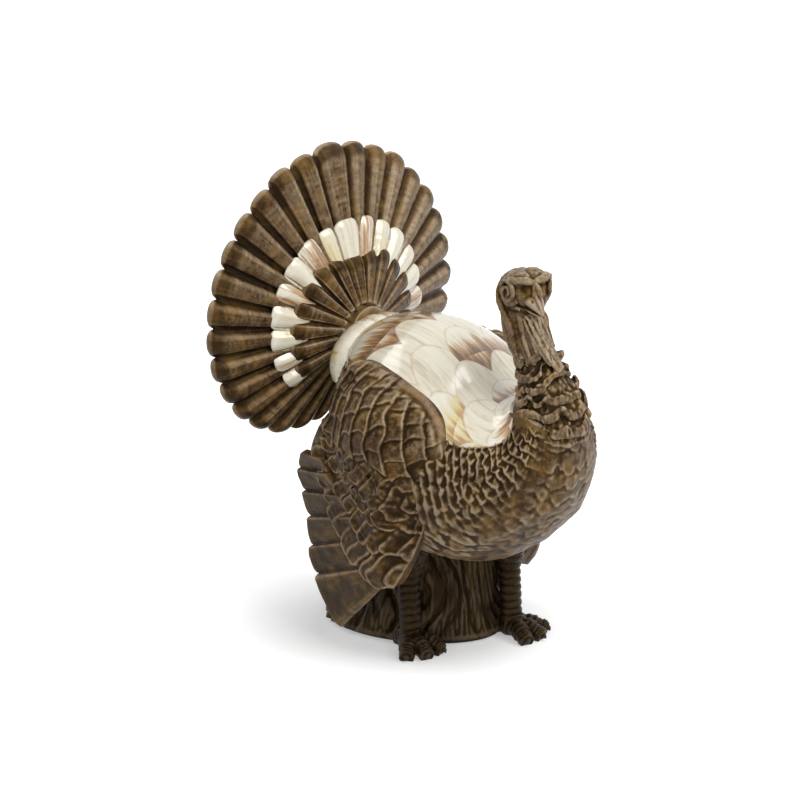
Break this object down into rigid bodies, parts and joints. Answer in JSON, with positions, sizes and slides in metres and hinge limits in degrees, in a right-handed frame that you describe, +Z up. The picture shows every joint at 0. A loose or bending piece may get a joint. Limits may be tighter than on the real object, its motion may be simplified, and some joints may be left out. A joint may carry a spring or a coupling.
{
  "type": "turkey figurine",
  "caption": "Standing turkey figurine with a spread tail fan, folded wings and a glossy enamelled back, on a bark stump base that rests on a tabletop as a decoration.",
  "frame": {"origin": "on the table, on the underside of the felt pad, under the bird", "axes": "+Z up, the bird faces -Y, +X is the bird's left"},
  "size_m": [0.1796, 0.1913, 0.2512],
  "materials": {
    "bronzed_resin": "cast resin painted dark umber, rubbed with golden brown and dry-brushed taupe on the raised edges, satin",
    "ivory_enamel": "glossy hand-brushed enamel in ivory with honey, tan and brown strokes",
    "dowel_steel": "plain drawn steel rod",
    "pad_felt": "dark self-adhesive felt"
  },
  "bodies": {
    "root": {"body_shell": "bronzed_resin", "back_saddle": "ivory_enamel", "rump_roll": "ivory_enamel", "neck": "bronzed_resin", "head": "bronzed_resin", "wattle": "bronzed_resin", "snood": "bronzed_resin", "tail_fan": "bronzed_resin", "tail_band": "ivory_enamel", "tail_inner_fan": "bronzed_resin", "tail_hub": "bronzed_resin", "neck_dowel": "dowel_steel", "head_dowel": "dowel_steel", "right_wing_coverts": "bronzed_resin", "right_wing_quills": "bronzed_resin", "right_leg": "bronzed_resin", "right_foot": "bronzed_resin", "right_leg_rod": "dowel_steel", "right_tail_dowel": "dowel_steel", "right_wing_dowel_low": "dowel_steel", "right_wing_dowel_high": "dowel_steel", "left_wing_coverts": "bronzed_resin", "left_wing_quills": "bronzed_resin", "left_leg": "bronzed_resin", "left_foot": "bronzed_resin", "left_leg_rod": "dowel_steel", "left_tail_dowel": "dowel_steel", "left_wing_dowel_low": "dowel_steel", "left_wing_dowel_high": "dowel_steel", "stump": "bronzed_resin", "base_plug": "bronzed_resin", "felt_pad": "pad_felt"}
  },
  "joints": []
}
